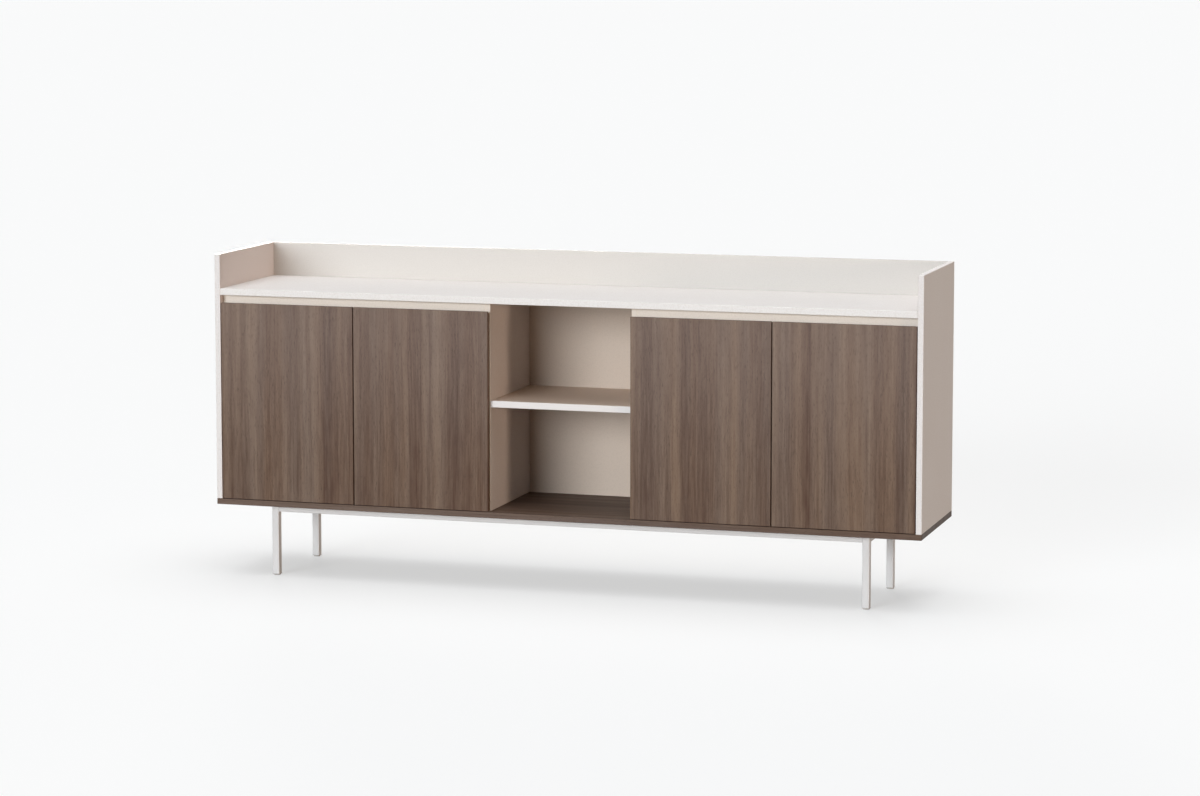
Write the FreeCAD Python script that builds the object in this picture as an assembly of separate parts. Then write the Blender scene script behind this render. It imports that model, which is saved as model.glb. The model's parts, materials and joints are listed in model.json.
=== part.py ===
import FreeCAD, Part
import math
import os

# Office side cabinet on a low steel underframe, in millimetres.
# X runs along the cabinet with its middle at 0, Y runs from the doors (low) to the back (high),
# and Z is up from the floor. The doors' front faces lie at Y = -depth / 2.

# Overall size
width = 2000.0
depth = 400.0
height = 900.0

# Boards
side_board = 16.0
bottom_board = 16.0
top_board = 18.0
divider_board = 16.0
door_board = 18.0
shelf_board = 18.0
rear_board = 10.0
back_board = 8.0
edge_ease = 0.8

# Round pieces are prisms: their flats lie on the stated radius
fine_flat_count = 24
foot_flat_count = 16
small_flat_count = 12
coarse_flat_count = 8

# Levels; the shelves' middle is raised by shelf_raise over the middle of the clear height
leg_height = 200.0
gallery_rise = 95.0
finger_gap = 22.0
door_foot_gap = 1.5
shelf_raise = 9.5

# Plan
niche_width = 400.0
side_gap = 2.0
centre_gap = 3.0
niche_gap = 2.0
door_stand_off = 2.0
service_gap = 21.0
shelf_setback = 45.0
shelf_play = 1.0

# Grooves for the inner backs
groove_depth = 4.0
groove_play = 0.25

# Finger rail and the bevel on the back of each door's top edge
rail_board = 18.0
rail_height = 50.0
bevel = 8.0
bumper_radius = 4.0
bumper_thick = 1.7
bumper_inset = 24.0
bumper_drop = 14.0

# Shelf pins
pin_radius = 2.5
pin_hole_radius = 2.8
pin_in_board = 8.0
pin_hole_depth = 9.0
pin_out = 7.0
pin_from_end = 40.0
hole_pitch = 32.0
spare_hole_count = 1

# Dowels
dowel_radius = 4.0
dowel_hole_radius = 4.2
dowel_in_face = 10.0
dowel_in_end = 18.0
dowel_end_play = 1.0
dowel_inset = 50.0

# Concealed hinge: places are (u, v), u from the door's hinge edge inwards, v from its front face back
cup_setback = 22.5
cup_radius = 17.5
cup_depth = 11.5
cup_wall = 1.0
cup_play = 0.2
flange_thick = 1.0
flange_reach = 2.0
flange_trim = 8.0
wing_radius = 6.0
wing_pitch = 52.0
wing_offset = 5.5
cup_pivot_in = 12.0
cup_pivot_back = 11.5
arm_pivot_in = 36.0
arm_pivot_back = 32.0
cup_pin_radius = 1.5
arm_pin_radius = 2.0
pivot_play = 0.1
cup_eye_radius = 2.9
arm_eye_radius = 3.3
link_thick = 2.0
link_half_width = 4.5
link_floor_run = 7.6
link_floor_drop = 2.3
link_heel_run = 11.2
link_heel_drop = 2.2
link_bend_run = 15.2
link_bend_rise = 0.4
link_neck_run = 17.2
link_neck_rise = 5.6
boss_half_gap = 5.0
boss_thick = 2.2
boss_radius = 3.2
arm_half_width = 7.6
arm_sheet = 1.2
arm_nose_radius = 5.0
arm_neck = 8.0
arm_height = 17.0
arm_tail = 98.0
shoulder_slope = 1.0
plate_thick = 2.0
plate_line = 57.0
plate_half_width = 9.0
plate_front = 48.0
plate_wing_reach = 22.0
plate_wing_length = 14.0
plate_rail_height = 9.0
plate_rail_play = 0.5
hinge_end_inset = 90.0

# Underframe
tube = 20.0
tube_wall = 1.5
leg_end_inset = 148.0
leg_front_inset = 40.0
leg_rear_inset = 40.0
glide_radius = 9.5
glide_thick = 2.5
glide_stem_radius = 4.0
glide_stem_play = 0.3
glide_stem = 20.5
insert_length = 16.0
insert_play = 0.3
foot_gap = 4.5

# Planes and levels worked out from the sizes above
x_left = -width / 2
x_right = width / 2
y_front = -depth / 2
y_back = depth / 2
inner_left = x_left + side_board
inner_right = x_right - side_board
niche_left = -niche_width / 2
niche_right = niche_width / 2
z_floor = leg_height + bottom_board
z_worktop = height - gallery_rise
z_under_top = z_worktop - top_board
z_door_low = z_floor + door_foot_gap
z_door_top = z_under_top - finger_gap
y_inner = y_front + door_board + door_stand_off
y_rear_board = y_back - rear_board
y_back_rear = y_rear_board - service_gap
y_back_front = y_back_rear - back_board
z_shelf = (z_floor + z_under_top) / 2 + shelf_raise - shelf_board / 2
z_shelf_top = z_shelf + shelf_board
cup_pivot = (cup_pivot_in, cup_pivot_back)
arm_pivot = (arm_pivot_in, arm_pivot_back)


def vec(x, y, z):
    return FreeCAD.Vector(x, y, z)


def block(x0, x1, y0, y1, z0, z1):
    """A box between two corners, given in either order."""
    low = vec(min(x0, x1), min(y0, y1), min(z0, z1))
    return Part.makeBox(abs(x1 - x0), abs(y1 - y0), abs(z1 - z0), low)


def eased(shape):
    """The board with its edges broken, as edge banding leaves them."""
    return shape.makeChamfer(edge_ease, shape.Edges)


def board(x0, x1, y0, y1, z0, z1):
    return eased(block(x0, x1, y0, y1, z0, z1))


def rod(centre, axis, radius, length, flats=small_flat_count):
    """A round bar or hole along X, Y or Z, from its start point."""
    corner = radius / math.cos(math.pi / flats)
    points = []
    for index in range(flats):
        turn = (index + 0.5) * 2 * math.pi / flats
        a, b = corner * math.cos(turn), corner * math.sin(turn)
        if axis.z:
            points.append(centre + vec(a, b, 0))
        elif axis.y:
            points.append(centre + vec(a, 0, b))
        else:
            points.append(centre + vec(0, a, b))
    return Part.Face(Part.makePolygon(points + [points[0]])).extrude(axis * length)


def joined(shapes):
    first = shapes[0]
    for other in shapes[1:]:
        first = first.fuse(other)
    return first.removeSplitter()


def drilled(shape, cutters):
    if not cutters:
        return shape
    return shape.cut(Part.makeCompound(cutters))


def group(shapes):
    return Part.makeCompound(shapes)


# Dowels: each joint gives the point on its face, the way into the end-grain board and the two boards' names

def dowel_rows():
    """Every dowel as (point, direction into the board's end, faced board, ended board)."""
    up = vec(0, 0, 1)
    rows = []
    y_pair = (y_inner + dowel_inset, y_back_front - dowel_inset)
    left_mid = x_left + side_board / 2
    right_mid = x_right - side_board / 2
    div_left = niche_left - divider_board / 2
    div_right = niche_right + divider_board / 2
    for y in y_pair:
        for x, name in ((left_mid, "side_panel_left"), (right_mid, "side_panel_right"),
                        (div_left, "divider_left"), (div_right, "divider_right")):
            rows.append((vec(x, y, z_floor), up, "bottom_panel", name))
        for x, name in ((div_left, "divider_left"), (div_right, "divider_right")):
            rows.append((vec(x, y, z_under_top), -up, "worktop", name))
        z_top_mid = z_under_top + top_board / 2
        rows.append((vec(inner_left, y, z_top_mid), vec(1, 0, 0), "side_panel_left", "worktop"))
        rows.append((vec(inner_right, y, z_top_mid), vec(-1, 0, 0), "side_panel_right", "worktop"))
        z_shelf_mid = z_shelf + shelf_board / 2
        rows.append((vec(niche_left, y, z_shelf_mid), vec(1, 0, 0), "divider_left", "niche_shelf"))
        rows.append((vec(niche_right, y, z_shelf_mid), vec(-1, 0, 0), "divider_right", "niche_shelf"))
    return rows


def dowel_holes(name):
    """The blind holes that one board needs for its dowels."""
    holes = []
    for point, into, faced, ended in dowel_rows():
        if name == faced:
            depth_in = dowel_in_face + dowel_end_play
            holes.append(rod(point, -into, dowel_hole_radius, depth_in, coarse_flat_count))
        if name == ended:
            depth_in = dowel_in_end + dowel_end_play
            holes.append(rod(point, into, dowel_hole_radius, depth_in, coarse_flat_count))
    return holes


def make_dowels():
    rods = []
    for point, into, _, _ in dowel_rows():
        start = point - into * dowel_in_face
        rods.append(rod(start, into, dowel_radius, dowel_in_face + dowel_in_end, coarse_flat_count))
    return group(rods)


# Carcass boards

def back_groove(face_x, inward):
    """The upright groove in a board's face that takes an inner back's edge."""
    return block(face_x, face_x - inward * groove_depth,
                 y_back_front - groove_play, y_back_rear + groove_play,
                 z_floor, z_under_top)


def pin_levels():
    centre = z_shelf - pin_radius
    return [centre + step * hole_pitch for step in range(-spare_hole_count, spare_hole_count + 1)]


def pin_rows():
    """The two upright lines, front and rear, that shelf pins stand on."""
    front = y_front + shelf_setback + pin_from_end
    rear = y_back_front - pin_from_end
    return (front, rear)


def pin_holes(face_x, inward):
    """The row of pin holes in a board's face; inward is the way the pins point."""
    holes = []
    for y in pin_rows():
        for z in pin_levels():
            holes.append(rod(vec(face_x, y, z), vec(-inward, 0, 0), pin_hole_radius, pin_hole_depth))
    return holes


def make_side(outer_x, inner_x, inward, name):
    panel = board(outer_x, inner_x, y_front, y_back, z_floor, height)
    cutters = dowel_holes(name) + pin_holes(inner_x, inward) + [back_groove(inner_x, inward)]
    return drilled(panel, cutters)


def make_bottom():
    panel = board(x_left, x_right, y_front, y_back, leg_height, z_floor)
    return drilled(panel, dowel_holes("bottom_panel"))


def make_worktop():
    panel = board(inner_left, inner_right, y_front, y_rear_board, z_under_top, z_worktop)
    return drilled(panel, dowel_holes("worktop"))


def make_rear():
    return board(inner_left, inner_right, y_rear_board, y_back, z_floor, height)


def make_divider(niche_x, outward, name):
    """A divider whose niche face is at niche_x and which stands on the outward side of it."""
    outer_x = niche_x + outward * divider_board
    panel = board(niche_x, outer_x, y_inner, y_rear_board, z_floor, z_under_top)
    cutters = dowel_holes(name) + pin_holes(outer_x, outward)
    cutters += [back_groove(outer_x, outward), back_groove(niche_x, -outward)]
    return drilled(panel, cutters)


def make_inner_back(x0, x1):
    reach = groove_depth - groove_play
    return block(x0 - reach, x1 + reach, y_back_front, y_back_rear, z_floor, z_under_top)


def make_finger_rail(x0, x1):
    return board(x0, x1, y_inner, y_inner + rail_board, z_under_top - rail_height, z_under_top)


def make_niche_shelf():
    panel = board(niche_left, niche_right, y_inner, y_back_front, z_shelf, z_shelf_top)
    return drilled(panel, dowel_holes("niche_shelf"))


def make_loose_shelf(x0, x1):
    return board(x0 + shelf_play, x1 - shelf_play, y_front + shelf_setback, y_back_front - shelf_play,
                 z_shelf, z_shelf_top)


def make_shelf_pins():
    """Eight pins: a shank in the board and a flat-topped end that the shelf lies on."""
    faces = ((inner_left, 1), (niche_left - divider_board, -1),
             (niche_right + divider_board, 1), (inner_right, -1))
    pins = []
    for face_x, inward in faces:
        for y in pin_rows():
            start = vec(face_x - inward * pin_in_board, y, z_shelf - pin_radius)
            pins.append(rod(start, vec(inward, 0, 0), pin_radius, pin_in_board + pin_out))
    return group(pins)


def door_spans():
    """Each door's name, hinge edge, the way it runs from there, and its panel's face in hinge places."""
    left_start = inner_left + side_gap
    left_end = niche_left - niche_gap
    overlay = divider_board - niche_gap
    return (("left_outer", left_start, 1, -side_gap),
            ("left_inner", left_end, -1, overlay),
            ("right_inner", -left_end, 1, overlay),
            ("right_outer", -left_start, -1, -side_gap))


def door_width():
    pair = (niche_left - niche_gap) - (inner_left + side_gap)
    return (pair - centre_gap) / 2


def make_bumpers():
    """Soft discs on the finger rails, behind the free top corner of each door."""
    discs = []
    for _, edge, way, _ in door_spans():
        x = edge + way * (door_width() - bumper_inset)
        start = vec(x, y_inner, z_door_top - bumper_drop)
        discs.append(rod(start, vec(0, -1, 0), bumper_radius, bumper_thick))
    return group(discs)


# Concealed hinges

def hinge_levels():
    return (z_door_low + hinge_end_inset, z_door_top - hinge_end_inset)


def plan_point(place, edge, way):
    return vec(edge + way * place[0], y_front + place[1], 0)


def plan_prism(outline, edge, way, z0, z1):
    """An outline in hinge places, raised between two levels."""
    points = [plan_point(p, edge, way) for p in outline]
    face = Part.Face(Part.makePolygon(points + [points[0]]))
    prism = face.extrude(vec(0, 0, z1 - z0))
    prism.translate(vec(0, 0, z0))
    return prism


def plan_rod(place, edge, way, radius, z0, z1):
    base = plan_point(place, edge, way)
    return rod(vec(base.x, base.y, z0), vec(0, 0, 1), radius, z1 - z0)


def make_door(edge, way):
    """A door board with the bevelled top edge and the pockets for its cups."""
    y_rear = y_front + door_board
    outline = [(y_front, z_door_low), (y_rear, z_door_low), (y_rear, z_door_top - bevel),
               (y_rear - bevel, z_door_top), (y_front, z_door_top)]
    points = [vec(edge, y, z) for y, z in outline]
    face = Part.Face(Part.makePolygon(points + [points[0]]))
    panel = eased(face.extrude(vec(way * door_width(), 0, 0)))
    pockets = []
    for z in hinge_levels():
        centre = vec(edge + way * cup_setback, y_rear, z)
        pockets.append(rod(centre, vec(0, -1, 0), cup_radius, cup_depth, fine_flat_count))
    return drilled(panel, pockets)


def make_cup(edge, way, z):
    """A pressed cup with its screw flange and the two bosses that carry its pin."""
    y_rear = y_front + door_board
    x = edge + way * cup_setback
    forward = vec(0, -1, 0)
    outer = rod(vec(x, y_rear, z), forward, cup_radius - cup_play, cup_depth, fine_flat_count)
    disc = rod(vec(x, y_rear + flange_thick, z), forward, cup_radius + flange_reach, flange_thick, fine_flat_count)
    wing_x = x + way * wing_offset
    wings = [block(wing_x - wing_radius, wing_x + wing_radius, y_rear, y_rear + flange_thick,
                   z - wing_pitch / 2, z + wing_pitch / 2)]
    for side in (-1, 1):
        tip = vec(wing_x, y_rear + flange_thick, z + side * wing_pitch / 2)
        wings.append(rod(tip, forward, wing_radius, flange_thick, coarse_flat_count))
    trim = block(edge, edge + way * flange_trim, y_rear, y_rear + flange_thick,
                 z - wing_pitch, z + wing_pitch)
    flange = joined([disc] + wings).cut(trim)
    hollow = rod(vec(x, y_rear + flange_thick, z), forward, cup_radius - cup_play - cup_wall,
                 cup_depth - cup_wall + flange_thick, fine_flat_count)
    shell = joined([outer, flange]).cut(hollow)
    bosses = []
    for side in (-1, 1):
        z0 = z + side * boss_half_gap
        z1 = z0 + side * boss_thick
        low, high = min(z0, z1), max(z0, z1)
        foot = [(cup_pivot[0] - boss_radius, door_board - cup_depth + cup_wall / 2),
                (cup_pivot[0] + boss_radius, door_board - cup_depth + cup_wall / 2),
                (cup_pivot[0] + boss_radius, cup_pivot[1]), (cup_pivot[0] - boss_radius, cup_pivot[1])]
        bosses.append(plan_prism(foot, edge, way, low, high))
        bosses.append(plan_rod(cup_pivot, edge, way, boss_radius, low, high))
    hole = plan_rod(cup_pivot, edge, way, cup_pin_radius + pivot_play,
                    z - boss_half_gap - boss_thick, z + boss_half_gap + boss_thick)
    return joined([shell] + bosses).cut(hole)


def thick_path(points, thick):
    """The outline of a strip of even thickness along a path of points."""
    left = []
    right = []
    for index, point in enumerate(points):
        before = points[max(index - 1, 0)]
        after = points[min(index + 1, len(points) - 1)]
        run = (after[0] - before[0], after[1] - before[1])
        size = math.hypot(run[0], run[1])
        side = (-run[1] / size * thick / 2, run[0] / size * thick / 2)
        left.append((point[0] + side[0], point[1] + side[1]))
        right.append((point[0] - side[0], point[1] - side[1]))
    return left + right[::-1]


def make_link(edge, way, z):
    """The hooked link: it leaves the cup pin along the cup's floor and bends up to the arm pin."""
    low, high = z - link_half_width, z + link_half_width
    steps = ((link_floor_run, -link_floor_drop), (link_heel_run, -link_heel_drop),
             (link_bend_run, link_bend_rise), (link_neck_run, link_neck_rise))
    bend = [(cup_pivot[0] + run, cup_pivot[1] + rise) for run, rise in steps]
    strip = plan_prism(thick_path([cup_pivot] + bend + [arm_pivot], link_thick), edge, way, low, high)
    eyes = [plan_rod(cup_pivot, edge, way, cup_eye_radius, low, high),
            plan_rod(arm_pivot, edge, way, arm_eye_radius, low, high)]
    holes = [plan_rod(cup_pivot, edge, way, cup_pin_radius + pivot_play, low, high),
             plan_rod(arm_pivot, edge, way, arm_pin_radius + pivot_play, low, high)]
    return drilled(joined([strip] + eyes), holes)


def make_arm(edge, way, z, face):
    """The folded steel arm, cranked from its pivot down to the plate on the panel's face."""
    u, v = arm_pivot
    top = face + arm_height
    foot = face + plate_thick
    drop = (u + arm_nose_radius - top) * shoulder_slope
    neck = v + arm_neck
    shoulder = neck + drop
    outline = [(u + arm_nose_radius, v), (u + arm_nose_radius, neck), (top, shoulder), (top, arm_tail),
               (foot, arm_tail), (foot, shoulder), (u - arm_nose_radius, neck), (u - arm_nose_radius, v)]
    solid = joined([plan_prism(outline, edge, way, z - arm_half_width, z + arm_half_width),
                    plan_rod(arm_pivot, edge, way, arm_nose_radius, z - arm_half_width, z + arm_half_width)])
    inside = arm_half_width - arm_sheet
    web = arm_nose_radius - arm_sheet
    front = v - 2 * arm_nose_radius
    hollow = [(u + 2 * arm_nose_radius, front), (u + 2 * arm_nose_radius, v), (u + web, v),
              (u + web, neck), (top - arm_sheet, shoulder), (top - arm_sheet, arm_tail),
              (face, arm_tail), (face, front)]
    hole = plan_rod(arm_pivot, edge, way, arm_pin_radius + pivot_play,
                    z - arm_half_width, z + arm_half_width)
    return solid.cut(plan_prism(hollow, edge, way, z - inside, z + inside)).cut(hole)


def make_plate(edge, way, z, face):
    """The mounting plate: a base with two wings, and the rail that the arm slides over."""
    base = [(face, plate_front), (face + plate_thick, plate_front),
            (face + plate_thick, arm_tail + plate_thick), (face, arm_tail + plate_thick)]
    wing = [(face, plate_line - plate_wing_length / 2), (face + plate_thick, plate_line - plate_wing_length / 2),
            (face + plate_thick, plate_line + plate_wing_length / 2), (face, plate_line + plate_wing_length / 2)]
    rail_start = plate_line + plate_wing_length / 2
    rail_end = arm_tail - plate_thick
    rail = [(face, rail_start), (face + plate_rail_height, rail_start),
            (face + plate_rail_height, rail_end), (face, rail_end)]
    rail_half = arm_half_width - arm_sheet - plate_rail_play
    return joined([plan_prism(base, edge, way, z - plate_half_width, z + plate_half_width),
                   plan_prism(wing, edge, way, z - plate_wing_reach, z + plate_wing_reach),
                   plan_prism(rail, edge, way, z - rail_half, z + rail_half)])


def make_cup_pin(edge, way, z):
    reach = boss_half_gap + boss_thick
    return plan_rod(cup_pivot, edge, way, cup_pin_radius, z - reach, z + reach)


def make_arm_pin(edge, way, z):
    return plan_rod(arm_pivot, edge, way, arm_pin_radius, z - arm_half_width, z + arm_half_width)


# Underframe

def leg_places():
    """Each leg's name and the low corner of its square."""
    left = x_left + leg_end_inset
    right = x_right - leg_end_inset - tube
    front = y_front + leg_front_inset
    rear = y_back - leg_rear_inset - tube
    return (("front_left", left, front), ("front_right", right, front),
            ("rear_left", left, rear), ("rear_right", right, rear))


def square_tube(x, y, z, along, length):
    """A square tube from its low corner, running along X, Y or Z."""
    inner = tube - 2 * tube_wall
    spans = {"x": ((length, tube, tube), (length, inner, inner), (0, tube_wall, tube_wall)),
             "y": ((tube, length, tube), (inner, length, inner), (tube_wall, 0, tube_wall)),
             "z": ((tube, tube, length), (inner, inner, length), (tube_wall, tube_wall, 0))}
    outer, bore, shift = spans[along]
    solid = Part.makeBox(outer[0], outer[1], outer[2], vec(x, y, z))
    hollow = Part.makeBox(bore[0], bore[1], bore[2], vec(x + shift[0], y + shift[1], z + shift[2]))
    return solid.cut(hollow)


def make_long_rail(y):
    x = x_left + leg_end_inset + tube
    length = width - 2 * (leg_end_inset + tube)
    return square_tube(x, y, leg_height - tube, "x", length)


def make_cross_rail(x):
    y = y_front + leg_front_inset + tube
    length = depth - leg_front_inset - leg_rear_inset - 2 * tube
    return square_tube(x, y, leg_height - tube, "y", length)


def make_leg(x, y):
    return square_tube(x, y, foot_gap, "z", leg_height - foot_gap)


def make_insert(x, y):
    """The plug in the leg's foot, with a hole for the glide's stem."""
    centre = vec(x + tube / 2, y + tube / 2, foot_gap)
    half = tube / 2 - tube_wall - insert_play
    plug = block(centre.x - half, centre.x + half, centre.y - half, centre.y + half,
                 foot_gap, foot_gap + insert_length)
    rim = block(x, x + tube, y, y + tube, foot_gap - tube_wall, foot_gap)
    bore = rod(vec(centre.x, centre.y, foot_gap - tube_wall), vec(0, 0, 1),
               glide_stem_radius + glide_stem_play, insert_length + tube_wall)
    return joined([plug, rim]).cut(bore)


def make_glide(x, y):
    """The levelling glide: an eased disc on the floor and its stem."""
    centre = vec(x + tube / 2, y + tube / 2, 0)
    disc = rod(centre, vec(0, 0, 1), glide_radius, glide_thick, foot_flat_count)
    disc = disc.makeChamfer(edge_ease, [edge for edge in disc.Edges if edge.BoundBox.ZMax < glide_thick / 2])
    stem = rod(vec(centre.x, centre.y, glide_thick), vec(0, 0, 1), glide_stem_radius, glide_stem - glide_thick)
    return joined([disc, stem])


def make_parts():
    """Every sub-part by its name."""
    divider_outer = niche_right + divider_board
    parts = {
        "side_panel_left": make_side(x_left, inner_left, 1, "side_panel_left"),
        "side_panel_right": make_side(x_right, inner_right, -1, "side_panel_right"),
        "bottom_panel": make_bottom(),
        "worktop": make_worktop(),
        "rear_panel": make_rear(),
        "divider_left": make_divider(niche_left, -1, "divider_left"),
        "divider_right": make_divider(niche_right, 1, "divider_right"),
        "inner_back_left": make_inner_back(inner_left, -divider_outer),
        "inner_back_middle": make_inner_back(niche_left, niche_right),
        "inner_back_right": make_inner_back(divider_outer, inner_right),
        "finger_rail_left": make_finger_rail(inner_left, -divider_outer),
        "finger_rail_right": make_finger_rail(divider_outer, inner_right),
        "niche_shelf": make_niche_shelf(),
        "shelf_left": make_loose_shelf(inner_left, -divider_outer),
        "shelf_right": make_loose_shelf(divider_outer, inner_right),
        "shelf_pins": make_shelf_pins(),
        "carcass_dowels": make_dowels(),
        "door_bumpers": make_bumpers(),
        "rail_front": make_long_rail(y_front + leg_front_inset),
        "rail_rear": make_long_rail(y_back - leg_rear_inset - tube),
        "rail_left": make_cross_rail(x_left + leg_end_inset),
        "rail_right": make_cross_rail(x_right - leg_end_inset - tube),
    }
    arm_pins = []
    for name, edge, way, face in door_spans():
        levels = hinge_levels()
        parts["door_" + name] = make_door(edge, way)
        parts["hinge_cups_" + name] = group([make_cup(edge, way, z) for z in levels])
        parts["cup_pins_" + name] = group([make_cup_pin(edge, way, z) for z in levels])
        parts["hinge_links_" + name] = group([make_link(edge, way, z) for z in levels])
        parts["hinge_arms_" + name] = group([make_arm(edge, way, z, face) for z in levels])
        parts["hinge_plates_" + name] = group([make_plate(edge, way, z, face) for z in levels])
        arm_pins += [make_arm_pin(edge, way, z) for z in levels]
    parts["arm_pins"] = group(arm_pins)
    for name, x, y in leg_places():
        parts["leg_" + name] = make_leg(x, y)
    parts["leg_inserts"] = group([make_insert(x, y) for _, x, y in leg_places()])
    parts["leg_glides"] = group([make_glide(x, y) for _, x, y in leg_places()])
    return parts


def main():
    os.makedirs("parts", exist_ok=True)
    for name, shape in make_parts().items():
        if not shape.isValid():
            raise ValueError(name + " is not a valid shape")
        shape.exportStep("parts/" + name + ".step")
        print(name, len(shape.Solids), round(shape.Volume))


main()
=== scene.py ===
"""Looks of a low side cabinet: walnut-faced doors, an open niche, a raised edge and a slim steel frame.

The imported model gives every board, tube and hinge its place. This script gives them their finishes, turns
the small round pieces finer than the model has them, adds the screws, and sets up the studio.
"""
import json
import logging
import math
from dataclasses import dataclass
from enum import Enum

import bmesh
import bpy
from mathutils import Matrix, Vector

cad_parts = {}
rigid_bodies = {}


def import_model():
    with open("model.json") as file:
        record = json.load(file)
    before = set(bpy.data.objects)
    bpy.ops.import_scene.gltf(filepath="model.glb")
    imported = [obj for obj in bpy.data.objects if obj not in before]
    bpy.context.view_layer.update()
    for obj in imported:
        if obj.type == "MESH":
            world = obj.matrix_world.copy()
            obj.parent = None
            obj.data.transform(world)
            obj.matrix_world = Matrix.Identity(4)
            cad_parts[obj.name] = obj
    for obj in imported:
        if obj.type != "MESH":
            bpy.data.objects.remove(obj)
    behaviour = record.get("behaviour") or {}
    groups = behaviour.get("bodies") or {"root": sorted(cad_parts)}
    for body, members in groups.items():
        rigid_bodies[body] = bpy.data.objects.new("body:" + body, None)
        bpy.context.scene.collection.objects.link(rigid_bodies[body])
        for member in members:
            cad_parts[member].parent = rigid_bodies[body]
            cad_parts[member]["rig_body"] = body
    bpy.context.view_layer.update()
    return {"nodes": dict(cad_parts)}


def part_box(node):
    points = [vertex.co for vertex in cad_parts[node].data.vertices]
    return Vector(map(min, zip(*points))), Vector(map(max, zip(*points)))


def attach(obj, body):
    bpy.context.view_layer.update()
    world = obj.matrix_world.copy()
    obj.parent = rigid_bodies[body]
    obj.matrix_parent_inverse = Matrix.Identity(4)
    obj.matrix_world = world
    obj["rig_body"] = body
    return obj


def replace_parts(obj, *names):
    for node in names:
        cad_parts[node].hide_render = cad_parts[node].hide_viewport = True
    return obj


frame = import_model()

MM = 0.001
# Points nearer to each other than this are one point.
WELD = 0.001 * MM
# Edges sharper than this stay crisp on a smoothly shaded piece.
CREASE_DEG = 40.0
# Triangles that meet more flatly than this lie in one face.
FLAT_DEG = 0.5
# Corners are compared to this many decimals of a metre, a tenth of a millimetre.
DECIMALS = 4
# How squarely a face has to look one way to count as turned so: from the first share on a little, from the
# second on wholly. The soft step between them keeps an eased edge from showing a hard line.
TURNED_RANGE = (0.3, 0.6)
PHOTO_WIDTH_PX = 1200
SENSOR_MM = 36.0
WHITE = "#FFFFFF"

# Each door, with 1 where its hinges stand on its left edge and -1 where they stand on its right.
DOOR_WAYS = {"left_outer": 1, "left_inner": -1, "right_inner": 1, "right_outer": -1}

Vec2 = tuple[float, float]
Vec3 = tuple[float, float, float]
Colour = tuple[float, float, float, float]
Placed = tuple[bmesh.types.BMesh, Matrix]
log = logging.getLogger("cabinet")


def linear(code: str) -> Colour:
    """Turn an sRGB hex value into linear colour, by the standard's own curve.

    Args:
        code: The colour as #RRGGBB.

    Returns:
        Linear red, green and blue, and a full alpha.
    """
    shares = [int(code[start:start + 2], 16) / 255 for start in (1, 3, 5)]
    red, green, blue = (c / 12.92 if c <= 0.04045 else ((c + 0.055) / 1.055) ** 2.4 for c in shares)
    return (red, green, blue, 1.0)


def add_node(tree: bpy.types.NodeTree, kind: str, sockets: dict | None = None,
             **settings: object) -> bpy.types.Node:
    """Add a node with its settings and links.

    Args:
        tree: The node tree of a material or of the world.
        kind: The node's type, such as ShaderNodeTexNoise.
        sockets: For each input, by name or number, a value or the output socket that feeds it.
        **settings: The node's own attributes.

    Returns:
        The new node.
    """
    made = tree.nodes.new(kind)
    for name, value in settings.items():
        setattr(made, name, value)
    for name, value in (sockets or {}).items():
        if isinstance(value, bpy.types.NodeSocket):
            tree.links.new(value, made.inputs[name])
        else:
            made.inputs[name].default_value = value
    return made


def faces_turned(tree: bpy.types.NodeTree, way: Vec3, both_ways: bool = False) -> bpy.types.NodeSocket:
    """Tell the faces that are turned one way from the rest.

    Args:
        tree: The material's node tree.
        way: The direction, of length one.
        both_ways: Whether the faces turned the opposite way count too.

    Returns:
        1 on those faces and 0 on the others.
    """
    normal = add_node(tree, "ShaderNodeTexCoord").outputs["Normal"]
    if both_ways:
        normal = add_node(tree, "ShaderNodeVectorMath", {0: normal}, operation="ABSOLUTE").outputs[0]
    share = add_node(tree, "ShaderNodeVectorMath", {0: normal, 1: way}, operation="DOT_PRODUCT")
    low, high = TURNED_RANGE
    return add_node(tree, "ShaderNodeMapRange",
                    {"Value": share.outputs["Value"], "From Min": low, "From Max": high}).outputs[0]


class Grain(Enum):
    """The axis that a board's grain runs along."""

    LENGTHWISE = 0
    UPRIGHT = 2


@dataclass(frozen=True)
class Finish:
    """What every finish has: a name, a colour and a gloss."""

    name: str
    colour: str
    roughness: float

    def start(self) -> tuple[bpy.types.Material, bpy.types.NodeTree, bpy.types.Node, bpy.types.NodeSocket]:
        """Begin the material.

        Returns:
            The material, its node tree, its surface shader and the place on the piece in metres.
        """
        material = bpy.data.materials.new(self.name)
        material.use_nodes = True
        tree = material.node_tree
        tree.nodes.clear()
        skin = add_node(tree, "ShaderNodeBsdfPrincipled",
                        {"Base Color": linear(self.colour), "Roughness": self.roughness})
        add_node(tree, "ShaderNodeOutputMaterial", {"Surface": skin.outputs["BSDF"]})
        material.diffuse_color = linear(self.colour)
        place = add_node(tree, "ShaderNodeTexCoord").outputs["Object"]
        return material, tree, skin, place

    def material(self) -> bpy.types.Material:
        """Return this finish's material, made once."""
        return bpy.data.materials.get(self.name) or self.build()

    def build(self) -> bpy.types.Material:
        """Make the plain material; each finish adds its own pattern."""
        return self.start()[0]


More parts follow.
